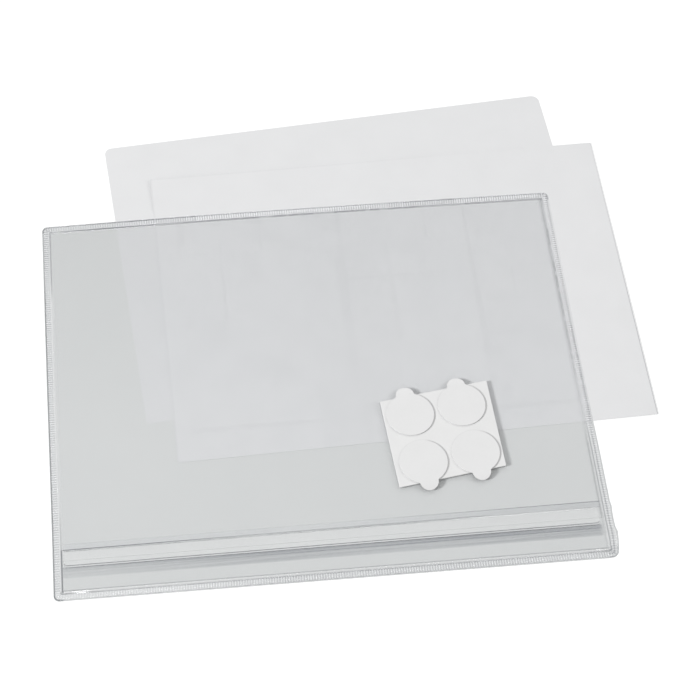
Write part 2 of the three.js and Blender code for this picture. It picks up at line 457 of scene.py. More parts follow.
wire(clouding, rough, gives["Roughness"])
wire(clouding, bump.outputs["Normal"], gives["Normal"])
print("node group:", clouding.name)

# %% [markdown]
# ## Paper fibre
# Paper and card are felted fibres. Seen close, they mottle and roughen the surface a little.
# Two noises are mixed for it, a fine one for the fibres and a broad one for the mottling.

# %% Paper fibre group
fibre, takes, gives = new_group(
    "paper_fibre",
    [
        ("Color", COLOR, (0.8, 0.8, 0.8, 1.0)),
        ("Shade", COLOR, (0.75, 0.75, 0.75, 1.0)),
        ("Fibre Scale", FLOAT, 900.0),
        ("Mottle Scale", FLOAT, 60.0),
        ("Roughness", FLOAT, 0.8),
        ("Relief", FLOAT, 0.25),
    ],
    [("Color", COLOR), ("Roughness", FLOAT), ("Normal", VECTOR)],
)
place = object_place(fibre)
fine = add(
    fibre, "ShaderNodeTexNoise", Vector=place, Scale=takes["Fibre Scale"], Detail=4.0,
    Roughness=0.6, Distortion=0.6,
).outputs["Fac"]
mottle = add(
    fibre, "ShaderNodeTexNoise", Vector=place, Scale=takes["Mottle Scale"], Detail=2.0
).outputs["Fac"]
both = mixed(fibre, "FLOAT", 0.6, fine, mottle)
mask = add(fibre, "ShaderNodeMapRange", Value=both, From_Min=0.4, From_Max=0.65)
tone = mixed(fibre, "RGBA", mask.outputs["Result"], takes["Color"], takes["Shade"])
rough = add(fibre, "ShaderNodeMath", operation="MULTIPLY_ADD", Value=fine)
rough.inputs[1].default_value = 0.1
wire(fibre, takes["Roughness"], rough.inputs[2])
bump = add(fibre, "ShaderNodeBump", Distance=0.00005, Strength=takes["Relief"], Height=fine)
wire(fibre, tone, gives["Color"])
wire(fibre, rough.outputs[0], gives["Roughness"])
wire(fibre, bump.outputs["Normal"], gives["Normal"])
print("node group:", fibre.name)

# %% [markdown]
# ## Crease lines
# A fold, a weld or a cut edge in clear film turns the light away and so looks like a grey line.
# The line follows a distance that is stored in the mesh, so it keeps to its place on the film.

# %% Crease line group
crease, takes, gives = new_group(
    "crease_line",
    [
        ("Across", FLOAT, 0.0), ("Place", FLOAT, 1.0), ("Half Width", FLOAT, 0.3),
        ("Amount", FLOAT, 1.0),
    ],
    [("Mask", FLOAT)],
)
away = add(crease, "ShaderNodeMath", operation="SUBTRACT", Value=takes["Across"])
wire(crease, takes["Place"], away.inputs[1])
distance = add(crease, "ShaderNodeMath", operation="ABSOLUTE", Value=away.outputs[0])
soft_line = add(
    crease, "ShaderNodeMapRange", interpolation_type="SMOOTHSTEP", Value=distance.outputs[0],
    From_Min=takes["Half Width"], From_Max=0.0, To_Max=takes["Amount"],
)
wire(crease, soft_line.outputs["Result"], gives["Mask"])
print("node group:", crease.name)

# %% [markdown]
# ## Clear film
# Soft clear vinyl bends light like thin glass, so it is a transmitting surface with its real
# index of refraction. Light from the lamps has to reach what lies under it, and a path tracer
# finds that hard through glass. So shadow rays and bounced rays pass a plain tinted
# transparency instead. The films, the weld and the flap differ in tint, roughness and haze, the
# small share of light that vinyl scatters where it was heated or bent.

# %% Clear vinyl recipe
VINYL_IOR = 1.5


def clear_vinyl(name, tint, cloud_tint, pass_tint, rough, ripple, haze=0.0, far_shade=0.0):
    """Clear soft vinyl. Returns the material, its tree and its shader."""
    made, tree, shader = new_material(name)
    shader.inputs["IOR"].default_value = VINYL_IOR
    shader.inputs["Transmission Weight"].default_value = 1.0 - haze
    effect = use_group(
        tree, clouding, Tint=(*tint, 1.0), Cloud_Tint=(*cloud_tint, 1.0),
        Roughness_Low=rough[0], Roughness_High=rough[1],
        Ripple_Scale=ripple[0], Ripple_Strength=ripple[1], Far_Shade=far_shade,
    )
    cover(tree, shader, effect)
    passing = add(tree, "ShaderNodeBsdfTransparent", Color=(*pass_tint, 1.0))
    light_path = add(tree, "ShaderNodeLightPath").outputs
    either = add(tree, "ShaderNodeMath", operation="MAXIMUM", Value=light_path["Is Shadow Ray"])
    wire(tree, light_path["Is Diffuse Ray"], either.inputs[1])
    choose = add(tree, "ShaderNodeMixShader", Fac=either.outputs[0])
    wire(tree, shader.outputs[0], choose.inputs[1])
    wire(tree, passing.outputs[0], choose.inputs[2])
    wire(tree, choose.outputs[0], tree.nodes["Material Output"].inputs["Surface"])
    return made, tree, shader


print("clear vinyl bends light with an index of", VINYL_IOR)

# %% [markdown]
# ## Masks for the film
# A mask says where a grey tone lies: along an axis of the pocket, at a distance from an edge,
# or in streaks. The tone is then mixed over the colour that the film has already.

# %% Mask helpers
def combine(tree, operation, first, second):
    """Two masks joined by a Math node. Either may be a plain number."""
    made = add(tree, "ShaderNodeMath", operation=operation)
    put(tree, first, made.inputs[0])
    put(tree, second, made.inputs[1])
    return made.outputs[0]


def product(tree, first, second):
    return combine(tree, "MULTIPLY", first, second)


def step(tree, value, start, end, low=0.0, high=1.0):
    """A mask that runs smoothly from low to high while the value goes from start to end."""
    return add(
        tree, "ShaderNodeMapRange", interpolation_type="SMOOTHSTEP", Value=value,
        From_Min=start, From_Max=end, To_Min=low, To_Max=high,
    ).outputs["Result"]


def along(tree, axis, start, end, low=0.0, high=1.0):
    """The same between two places on an axis of the object, in metres."""
    parts = add(tree, "ShaderNodeSeparateXYZ", Vector=object_place(tree))
    return step(tree, parts.outputs[axis], start, end, low, high)


def streaks(tree, stretch, low):
    """A mask of streaks along the mouth, from low to 1."""
    stretched = add(tree, "ShaderNodeMapping", Vector=object_place(tree), Scale=stretch)
    noise = add(tree, "ShaderNodeTexNoise", Vector=stretched.outputs[0], Scale=1.0, Detail=3.0)
    return add(
        tree, "ShaderNodeMapRange", Value=noise.outputs["Fac"], From_Min=0.35, From_Max=0.65,
        To_Min=low,
    ).outputs["Result"]


def crease_lines(tree, *lines):
    """One mask of several lines, each given by its place, half width (mm) and strength."""
    across = add(tree, "ShaderNodeAttribute", attribute_name="across").outputs["Fac"]
    total = 0.0
    for place, half_width, amount in lines:
        line = use_group(
            tree, crease, Across=across, Place=place, Half_Width=half_width, Amount=amount
        )
        total = combine(tree, "MAXIMUM", total, line.outputs["Mask"])
    return total


def mix_over(tree, shader, mask, tone):
    """Mixes another tone over what already feeds the base colour."""
    base = shader.inputs["Base Color"]
    wire(tree, mixed(tree, "RGBA", mask, base.links[0].from_socket, (*tone, 1.0)), base)


DARK = (0.25, 0.26, 0.28)
print("grey of the lines:", DARK)

# %% [markdown]
# ## Film and weld
# The broad film is nearly clear. Painted shade greys it where it rises to the bead on the right,
# with a fine painted line of shade beside that bead towards the near end. The weld is hazier,
# and painted lines of shade mark its cut edge and the foot of the bead. They differ on the four
# sides, because each side faces the lamps at its own angle. The ribs are a little greyer, but
# lighter on the right and towards the near left corner.

# %% Film and weld materials
film_vinyl, tree, shader = clear_vinyl(
    "clear_film_vinyl", (0.988, 0.989, 0.99), (0.982, 0.984, 0.986), (0.983, 0.985, 0.987),
    rough=(0.02, 0.07), ripple=(60.0, 0.12), far_shade=0.03,
)
# Painted shade where the film rises to the bead on the right, and a fine painted line of shade
# beside that bead towards the near end.
right_rise_shade = product(
    tree,
    along(tree, "X", 0.158, 0.1605, 0.0, 0.2), along(tree, "Y", -0.06, 0.08, 0.3, 1.0),
)
mix_over(tree, shader, right_rise_shade, DARK)
right_shade_line = product(
    tree, along(tree, "X", 0.1591, 0.1599), along(tree, "X", 0.1607, 0.1599)
)
near_right = along(tree, "Y", -0.045, -0.06, 0.0, 0.15)
mix_over(tree, shader, product(tree, right_shade_line, near_right), DARK)


def weld_lines(tree, shader):
    """Paints shade on the weld: lines of painted shade as (place, half width, amount), and a darker
    tone at the far corners and along the near side."""
    near_side = along(tree, "Y", -0.1253, -0.1262)
    right_side = along(tree, "X", 0.1592, 0.1606)
    left_side = along(tree, "X", -0.1592, -0.1606)
    far_side = along(tree, "Y", 0.1253, 0.1262)
    far_fade = along(tree, "X", 0.09, 0.16, 1.0, 0.75)
    far_edge_shade = along(tree, "X", -0.15, -0.1, 0.6, 1.0)
    far_left = along(tree, "X", -0.1, -0.13)
    right_near = along(tree, "Y", -0.03, -0.06)
    right_far = along(tree, "Y", -0.06, -0.03)
    right_foot = along(tree, "Y", -0.02, 0.08, 0.6, 1.0)
    left_edge_shade = along(tree, "Y", 0.07, 0.1, 1.0, 0.65)
    left_far = along(tree, "Y", 0.07, 0.09, 0.25, 1.0)
    left_near = along(tree, "Y", -0.07, -0.09, 0.0, 0.5)
    beside_mouth = along(tree, "Y", -0.0985, -0.1005)
    # Each line is painted shade, where the weld turns the light away at its cut edge or the bead's
    # foot.
    for side, part, lines in (
        (near_side, 1.0, [(0.6, 0.6, 0.25), (4.35, 0.7, 0.55)]),
        (far_side, far_edge_shade, [(0.7, 0.8, 1.0)]),
        (far_side, far_fade, [(5.2, 0.9, 0.88)]),
        (far_side, far_left, [(5.4, 0.8, 0.8)]),
        (left_side, left_edge_shade, [(0.6, 0.7, 0.85)]),
        (left_side, left_far, [(5.0, 0.8, 0.55)]),
        (left_side, left_near, [(5.2, 0.6, 0.6)]),
        (left_side, beside_mouth, [(5.4, 0.7, 0.95)]),
        (right_side, right_near, [(0.5, 0.6, 0.35), (2.7, 0.8, 0.36), (4.7, 0.8, 0.58)]),
        (right_side, right_far, [(1.6, 1.5, 0.28)]),
        (right_foot, product(tree, right_side, right_far), [(5.2, 1.0, 0.52)]),
    ):
        mask = product(tree, side, crease_lines(tree, *lines))
        mix_over(tree, shader, product(tree, mask, part), DARK)
    # Darker towards both ends of the far side, and along the near side towards the right.
    ends = combine(
        tree, "MAXIMUM", along(tree, "X", -0.06, -0.12), along(tree, "X", 0.06, 0.12)
    )
    far_corner_darkening = product(tree, ends, along(tree, "Y", 0.08, 0.12, 0.0, 0.07))
    mix_over(tree, shader, far_corner_darkening, DARK)
    near_side_darkening = product(tree, near_side, along(tree, "X", -0.1, 0.0, 0.0, 0.06))
    mix_over(tree, shader, near_side_darkening, DARK)


weld_vinyl, tree, shader = clear_vinyl(
    "welded_vinyl", (0.985, 0.987, 0.99), (0.965, 0.968, 0.973), (0.975, 0.977, 0.98),
    rough=(0.05, 0.12), ripple=(400.0, 0.05), haze=0.12,
)
weld_lines(tree, shader)
rib_vinyl, tree, shader = clear_vinyl(
    "ribbed_vinyl", (0.84, 0.845, 0.855), (0.95, 0.953, 0.96), (0.975, 0.977, 0.98),
    rough=(0.08, 0.15), ripple=(400.0, 0.05), haze=0.12,
)
mix_over(tree, shader, along(tree, "X", 0.1592, 0.1606, 0.0, 0.45), (0.975, 0.977, 0.98))
left_ribs = product(
    tree, along(tree, "X", -0.1592, -0.1606), along(tree, "Y", -0.03, 0.03, 0.04, 0.13)
)
mix_over(tree, shader, left_ribs, DARK)
near_ribs = product(
    tree, along(tree, "Y", -0.1253, -0.1262), along(tree, "X", -0.03, -0.14, 0.0, 0.8)
)
mix_over(tree, shader, near_ribs, (0.985, 0.987, 0.99))
weld_lines(tree, shader)
print("made:", film_vinyl.name, weld_vinyl.name, rib_vinyl.name)

# %% [markdown]
# ## Flap and lip
# The flap's band of weld is grey, with a crisp painted line of shade on its far side that is
# stronger to the right and one at the hinge that is stronger to the left. The flap has a painted
# line of shade at its hinge crease and two just inside its free edge. The lip carries a painted
# shadow of the sprung flap, a streaked grey band below that edge, deeper to the right, and is
# clear again nearer the weld.

# %% Flap and lip materials
joint_vinyl, tree, shader = clear_vinyl(
    "flap_weld_vinyl", (0.98, 0.983, 0.988), (0.955, 0.958, 0.966), (0.975, 0.977, 0.98),
    rough=(0.05, 0.12), ripple=(400.0, 0.08), haze=0.06,
)
# Painted lines of shade on the flap's weld band: a crisp one along its far side, stronger to the
# right, and one at the hinge, stronger to the left. The band also turns darker towards the right.
far_line = product(
    tree, along(tree, "X", 0.0, 0.15, 0.12, 1.0), crease_lines(tree, (3.8, 0.55, 0.55))
)
mix_over(tree, shader, far_line, DARK)
near_line = product(
    tree, along(tree, "X", -0.11, -0.04, 1.0, 0.5), along(tree, "X", 0.08, 0.1, 1.0, 0.1)
)
near_line = product(tree, near_line, crease_lines(tree, (0.35, 0.45, 0.9)))
mix_over(tree, shader, near_line, DARK)
mix_over(tree, shader, along(tree, "X", 0.0, 0.15, 0.0, 0.1), DARK)

flap_vinyl, tree, shader = clear_vinyl(
    "flap_vinyl", (0.955, 0.958, 0.959), (0.945, 0.948, 0.949), (0.99, 0.99, 0.99),
    rough=(0.05, 0.12), ripple=(60.0, 0.1), haze=0.1,
)
# Painted lines of shade on the flap: one at its hinge crease, stronger to the left, and two just
# inside its free edge.
hinge_line = product(
    tree, along(tree, "X", 0.03, 0.1, 1.0, 0.15), crease_lines(tree, (0.0, 0.7, 1.0))
)
mix_over(tree, shader, hinge_line, DARK)
mix_over(tree, shader, crease_lines(tree, (10.4, 0.6, 0.8), (11.9, 0.5, 0.9)), DARK)

lip_vinyl, tree, shader = clear_vinyl(
    "lip_vinyl", (0.984, 0.986, 0.987), (0.978, 0.981, 0.983), (0.983, 0.985, 0.987),
    rough=(0.03, 0.08), ripple=(60.0, 0.12),
)
from_near = add(tree, "ShaderNodeAttribute", attribute_name="across").outputs["Fac"]
# Painted shadow of the sprung flap: a streaked grey band on the lip below the flap's free edge,
# deeper to the right. It is painted into the lip, so it stays when the flap opens.
flap_shadow = combine(
    tree, "MAXIMUM", step(tree, from_near, 7.6, 9.2, 0.0, 0.65), step(tree, from_near, 11.6, 13.0)
)
flap_shadow = product(tree, flap_shadow, step(tree, from_near, 15.8, 15.2))
flap_shadow = product(tree, flap_shadow, along(tree, "X", -0.17, 0.02, 0.6, 1.0))
flap_shadow = product(tree, flap_shadow, along(tree, "X", 0.1602, 0.157))
flap_shadow = product(tree, flap_shadow, streaks(tree, (9.0, 900.0, 9.0), 0.6))
mix_over(tree, shader, flap_shadow, (0.53, 0.54, 0.57))
deeper_flap_shadow = product(tree, flap_shadow, along(tree, "X", 0.04, 0.12, 0.0, 0.1))
mix_over(tree, shader, deeper_flap_shadow, DARK)
# A fine painted line of shade along the lip's near edge.
mix_over(tree, shader, crease_lines(tree, (0.3, 0.6, 0.45)), DARK)
print("made:", joint_vinyl.name, flap_vinyl.name, lip_vinyl.name)

# %% [markdown]
# ## Paper, card, foam and liner
# Four whites lie side by side, a little apart in tone and in texture. Copy paper has the finest
# fibre. The card is smoother and a little lighter. The pads are foam full of tiny cells, toned
# darker so that their narrow sides show as faint grey rims of painted shade. The liners are
# satin, because they are coated to release the adhesive.

# %% White materials
def fibrous(name, color, shade, scale, mottle, rough, relief, specular):
    made, tree, shader = new_material(name)
    shader.inputs["Specular IOR Level"].default_value = specular
    effect = use_group(
        tree, fibre, Color=color, Shade=shade, Fibre_Scale=scale, Mottle_Scale=mottle,
        Roughness=rough, Relief=relief,
    )
    cover(tree, shader, effect)
    return made, tree, shader


PAPER_LOOK = {
    "color": (0.8, 0.803, 0.81, 1.0), "shade": (0.783, 0.786, 0.793, 1.0),
    "scale": 1300, "mottle": 45, "rough": 0.75, "relief": 0.3, "specular": 0.25,
}
copy_paper = fibrous("copy_paper", **PAPER_LOOK)[0]
pad_board, board_tree, board_shader = fibrous(
    "pad_board", (0.83, 0.83, 0.828, 1.0), (0.81, 0.81, 0.808, 1.0),
    scale=800, mottle=90, rough=0.6, relief=0.2, specular=0.35,
)
release_paper = fibrous(
    "release_paper", (0.825, 0.825, 0.825, 1.0), (0.81, 0.81, 0.81, 1.0),
    scale=500, mottle=70, rough=0.4, relief=0.08, specular=0.5,
)[0]

white_foam, tree, shader = new_material("white_foam")
shader.inputs["Specular IOR Level"].default_value = 0.3
shader.inputs["Roughness"].default_value = 0.85
cells = add(
    tree, "ShaderNodeTexVoronoi", Vector=object_place(tree), Scale=3500.0
).outputs["Distance"]
# The foam is toned darker, a painted shade for its narrow side round each disc.
tone = mixed(tree, "RGBA", cells, (0.68, 0.68, 0.68, 1.0), (0.55, 0.55, 0.55, 1.0))
wire(tree, tone, shader.inputs["Base Color"])
pits = add(tree, "ShaderNodeBump", Strength=0.5, Distance=0.00008, Height=cells)
wire(tree, pits.outputs["Normal"], shader.inputs["Normal"])
print("white materials:", copy_paper.name, pad_board.name, release_paper.name, white_foam.name)

# %% [markdown]
# ## Blank sheets
# Two sheets of copy paper stick out from under the far side of the pocket. The lower one lies
# flat on the table and has worn far corners. Paper that has been handled isn't quite flat, so
# the free part of the upper one rises a little along a slow wave and curls up towards the far
# left. Under the pocket it is flat too, so that it slides off without cutting through. Its left,
# far and right edges carry thin grey lines of painted shade.

# %% Blank sheets
SHEET_SIZE = (297.0, 210.0)
SHEET_THICKNESS = 0.1
SHEET_TURNS = {"insert_sheet_under": 4.72, "insert_sheet_over": 1.46}
WORN_CORNERS = {"insert_sheet_under": 5.0, "insert_sheet_over": 1.0}
# How far each outline strays: the near right corner in x, the near edge in y, the far left
# corner in x and the two far corners in y
STRAYS = {
    "insert_sheet_under": (0.0, 0.0, 0.05, 1.3, -0.75),
    "insert_sheet_over": (-0.4, -0.6, 0.0, 0.0, 0.0),
}
SHEET_COLUMNS = 74
SHEET_ROWS = 56
FINE_CELLS = 5
FINE_CELL = 1.0
# The upper sheet's wave: how wide a strip beside the pocket it grows over, its height, and how
# many millimetres it takes for each radian along x and along y
RISE_WIDTH = 40.0
WAVE_HEIGHT = 0.25
WAVE_RUNS = (37.0, 61.0)
# Its curl: the height, how far beyond the pocket that is reached, and where it grows along x
FAR_CURL = 1.7
FAR_WIDTH = 59.0
CURL_SPAN = (145.0, -122.0)
# Its left edge lifts within a narrow width, and fully once it is some way beyond the pocket.
# Within the width at its right edge, the rise drops to half.
EDGE_LIFT = 0.1
EDGE_WIDTH = 18.0
EDGE_BEYOND = 8.0
RIGHT_WIDTH = 9.0


def sheet_corner(node, degrees):
    """The place of the sheet's own near left corner, worked back from its box."""
    low, high = span(node)
    return low.x + SHEET_SIZE[1] * math.sin(math.radians(degrees)), low.y, high.z


def grid_place(share, count, length):
    """Where a line of the grid lies along a side. The first and last few lie close together."""
    line = round(share * count)
    if line <= FINE_CELLS:
        return line * FINE_CELL
    if line >= count - FINE_CELLS:
        return length - (count - line) * FINE_CELL
    wide = (length - 2 * FINE_CELLS * FINE_CELL) / (count - 2 * FINE_CELLS)
    return FINE_CELLS * FINE_CELL + (line - FINE_CELLS) * wide


def worn(side, reach, radius):
    """Moves a point near a far corner of the sheet so that the outline turns in an arc."""
    left = side < SHEET_SIZE[0] / 2
    a = max(radius - min(side, SHEET_SIZE[0] - side), 0.0) / radius
    b = max(radius - (SHEET_SIZE[1] - reach), 0.0) / radius
    inwards = radius * (a - a * math.sqrt(1 - b * b / 2))
    back = radius * (b - b * math.sqrt(1 - a * a / 2))
    return side + (inwards if left else -inwards), reach - back


def rise(x, y):
    """How far the upper sheet rises off the lower one at a place."""
    beyond = max(y - HALF_Y, 0.0)
    loose = min(max(x - HALF_X, beyond) / RISE_WIDTH, 1.0) ** 2
    wave = WAVE_HEIGHT * loose * (1.2 + math.sin(x / WAVE_RUNS[0] + y / WAVE_RUNS[1] + 2.0))
    return wave + FAR_CURL * beyond / FAR_WIDTH * fade(x, *CURL_SPAN)


def sheet_top(node, degrees):
    corner = sheet_corner(node, degrees)
    right, near, left, far_left, far_right = STRAYS[node]
    curls = node.endswith("over")

    def top(u, v):
        side, reach = worn(
            grid_place(u, SHEET_COLUMNS, SHEET_SIZE[0]), grid_place(v, SHEET_ROWS, SHEET_SIZE[1]),
            WORN_CORNERS[node],
        )
        x, y = turn(
            side + right * u * (1 - v) + left * (1 - u) * v,
            reach + near * (1 - v) + v * (far_left + (far_right - far_left) * u),
            degrees,
        )
        x += corner[0]
        y += corner[1]
        z = corner[2]
        if curls:
            z += rise(x, y) * (0.5 + 0.5 * fade(side, SHEET_SIZE[0], SHEET_SIZE[0] - RIGHT_WIDTH))
            z += EDGE_LIFT * fade(side, EDGE_WIDTH, 0.0) * fade(y, HALF_Y, HALF_Y + EDGE_BEYOND)
        return x, y, z

    return top


def sheet_axes(tree, corner, degrees):
    """Places along a turned sheet's long side and its short side, in metres."""
    turned = add(
        tree, "ShaderNodeMapping", vector_type="TEXTURE", Vector=object_place(tree),
        Location=(corner[0] * MM, corner[1] * MM, 0.0), Rotation=(0.0, 0.0, math.radians(degrees)),
    )
    parts = add(tree, "ShaderNodeSeparateXYZ", Vector=turned.outputs[0])
    return parts.outputs["X"], parts.outputs["Y"]


# The upper sheet's paper carries thin lines of painted shade along its left edge, its far edge
# towards the left, and its right edge, strongest towards the near end.
edge_shaded_paper, tree, shader = fibrous("copy_paper_edge_shade", **PAPER_LOOK)
degrees = SHEET_TURNS["insert_sheet_over"]
side, reach = sheet_axes(tree, sheet_corner("insert_sheet_over", degrees), degrees)
left_edge_shade = step(tree, side, 0.0018, 0.0002, 0.0, 0.08)
far_edge_shade = product(
    tree, step(tree, reach, 0.2084, 0.2096, 0.0, 0.04), step(tree, side, 0.26, 0.1)
)
right_edge_shade = product(
    tree, step(tree, side, 0.2959, 0.2964), step(tree, reach, 0.03, 0.22, 0.42, 0.06)
)
for mask in (left_edge_shade, far_edge_shade, right_edge_shade):
    mix_over(tree, shader, mask, DARK)
SHEET_PAPERS = {"insert_sheet_under": copy_paper, "insert_sheet_over": edge_shaded_paper}

for node, degrees in SHEET_TURNS.items():
    blank = closed_sheet(
        node + "_paper", SHEET_COLUMNS, SHEET_ROWS, sheet_top(node, degrees), SHEET_THICKNESS,
        SHEET_PAPERS[node],
    )
    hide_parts(node)
    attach(blank, node)
    print(node, "corner at", [round(c, 1) for c in sheet_corner(node, degrees)])

# %% [markdown]
# ## Films
# The back film lies flat on the sheets. The front film is welded to it on three sides and stays
# 0.3 mm above it, sagging a little between its edges. The lip film is the strip between the near
# weld and the mouth. Each is a closed sheet, fine enough to carry its sag.

# %% Films
def sag(x, y, depth):
    """How far a film hangs below its edge height, in millimetres."""
    across = math.cos(math.pi * min(abs(x) / (HALF_X - WELD), 1.0) / 2)
    wave = 0.55 + 0.25 * math.sin(x / 31.0 + 1.0) * math.sin(y / 43.0) + 0.2 * math.sin(y / 19.0)
    return depth * across * wave


def film_piece(name, node, depth, material, columns=96, rows=72, reach=0.0):
    low, high = span(node)
    high.y += reach

    def top(u, v):
        x = low.x + u * (high.x - low.x)
        y = low.y + v * (high.y - low.y)
        edge = math.sin(math.pi * v)
        return *settle(x, y), high.z - sag(x, y, depth) * edge

    made = closed_sheet(
        name, columns, rows, top, high.z - low.z, material, depth=high.y - low.y
    )
    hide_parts(node)
    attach(made, "pocket")


film_piece("back_film_sheet", "back_film", 0.0, film_vinyl, 12, 10)
film_piece("front_film_sheet", "front_film", 0.12, film_vinyl)
film_piece("lip_film_strip", "lip_film", 0.03, lip_vinyl, 96, 24, reach=0.25)
print("films done")

# %% [markdown]
# ## Edge weld
# A heated tool fuses the two films round their edge and cuts them free. It leaves a thin cut
# edge, a flat band, a shallow groove and a round bead. All of that is one cross-section, so
# the mesh carries that section round a rectangle with rounded corners. Each point of the
# section keeps its own distance from the cut edge. Beside the flap's right end the cut edge
# bulges a little, and the near right corner is rounder than the others.

# %% Edge weld band and bead
CORNER_RADIUS = 3.4
INNER_RADIUS = 0.35
CORNER_STEPS = 8
PLATE_TOP = 0.36
BAND_END = 4.0
WELD_SHARP = 50
WELD_SECTION = [
    (0.1, 0.0), (0.0, 0.08), (0.03, 0.16), (0.25, 0.2), (0.55, 0.21), (0.68, 0.27),
    (0.8, 0.36), (0.95, 0.39), (1.1, PLATE_TOP), (BAND_END, PLATE_TOP), (4.1, 0.33), (4.25, 0.31),
    (4.38, 0.36), (4.48, 0.54), (4.6, 0.73), (4.78, 0.87), (5.0, 0.94), (5.2, 0.95),
    (5.4, 0.93), (5.58, 0.88), (5.72, 0.81), (WELD, 0.74), (WELD, 0.0),
]
# Where the bead is flattened, measured from the left and the right end of the near side, and how
# it tilts there: its height at one place and how much it loses for each millimetre inwards
FLAT_LEFT = (6, 8, 22, 27)
FLAT_RIGHT = (7, 8, 17, 20)
TILT_PLACE = 4.1
TILT_HEIGHT = 1.22
TILT_FALL = 0.311
# The bulges of the right cut edge, as heights with places measured from the near side, and how
# far the near right corner is drawn in, with the distances from it between which that grows
BULGES = ((0.95, (4.0, 16.5, 17.4, 19.8)), (0.45, (28.5, 31.0, 32.5, 35.0)))
CORNER_PULL = 0.53
PULL_SPAN = (5.4, 1.4)
FREE_EDGE = 0.5


def rounded_path(offset, spacing=3.2):
    """Points round the pocket at one distance inside its cut edge, always the same count."""
    x = HALF_X - offset
    y = HALF_Y - offset
    r = max(CORNER_RADIUS - offset, INNER_RADIUS)
    path = []
    for cx, cy, start in (
        (x - r, -y + r, -90), (x - r, y - r, 0), (-x + r, y - r, 90), (-x + r, -y + r, 180)
    ):
        for i in range(CORNER_STEPS + 1):
            angle = math.radians(start + 90 * i / CORNER_STEPS)
            path.append((cx + r * math.cos(angle), cy + r * math.sin(angle)))
        steps = round((2 * (HALF_Y if start in (-90, 90) else HALF_X) - 2 * CORNER_RADIUS) / spacing)
        ax, ay = path[-1]
        ends = {
            -90: (x, y - r), 0: (-x + r, y), 90: (-x, -y + r), 180: (x - r, -y)
        }
        bx, by = ends[start]
        for i in range(1, steps):
            path.append((ax + (bx - ax) * i / steps, ay + (by - ay) * i / steps))
    return path


def crest(x, y, offset, height):
    """Near both ends of the near side, the bead is flattened and tilts inwards."""
    if y > WELD - HALF_Y or not BAND_END < offset <= WELD:
        return height
    flat = max(hump(x + HALF_X, *FLAT_LEFT), hump(HALF_X - x, *FLAT_RIGHT))
    tilted = TILT_HEIGHT - TILT_FALL * (offset - TILT_PLACE)
    return height + (tilted - height) * flat


def ruffle(x, y, offset):
    """The cut edge bulges beside the flap's right end, and the near right corner is rounder."""
    if x < HALF_X - WELD:
        return x, y
    from_near = y + HALF_Y
    free = fade(offset, BAND_END, FREE_EDGE)
    bulge = max(height * hump(from_near, *places) for height, places in BULGES)
    pull = CORNER_PULL * fade(math.hypot(HALF_X - x, from_near), *PULL_SPAN)
    return x + free * (bulge - pull), y + free * pull


def weld_ring(name, section, material):
    points = []
    across = []
    for offset, height in section:
        for x, y in rounded_path(offset):
            place = settle(*ruffle(x, y, offset))
            points.append((*place, BASE + crest(x, y, offset, height)))
            across.append(offset)
    around = len(points) // len(section)
    faces = []
    for k in range(len(section)):
        low = k * around
        high = (k + 1) % len(section) * around
        for i in range(around):
            j = (i + 1) % around
            faces.append((low + i, low + j, high + j, high + i))
    return finish_mesh(name, points, faces, material, WELD_SHARP, across)


weld = weld_ring("edge_weld_band", WELD_SECTION, weld_vinyl)
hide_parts("edge_weld_near", "edge_weld_far", "edge_weld_left", "edge_weld_right")
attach(weld, "pocket")
print("weld faces:", len(weld.data.polygons))

# %% [markdown]
# ## Weld ribs
# The tool also presses a row of fine ribs across the band, 1.6 mm apart, all the way round.
# That is a job for Geometry Nodes. The tree draws the path, sets points along it, puts a
# half-oval bar on each one and turns it to lie across the weld. The sizes are inputs of the
# tree, and the result is turned into a plain mesh.

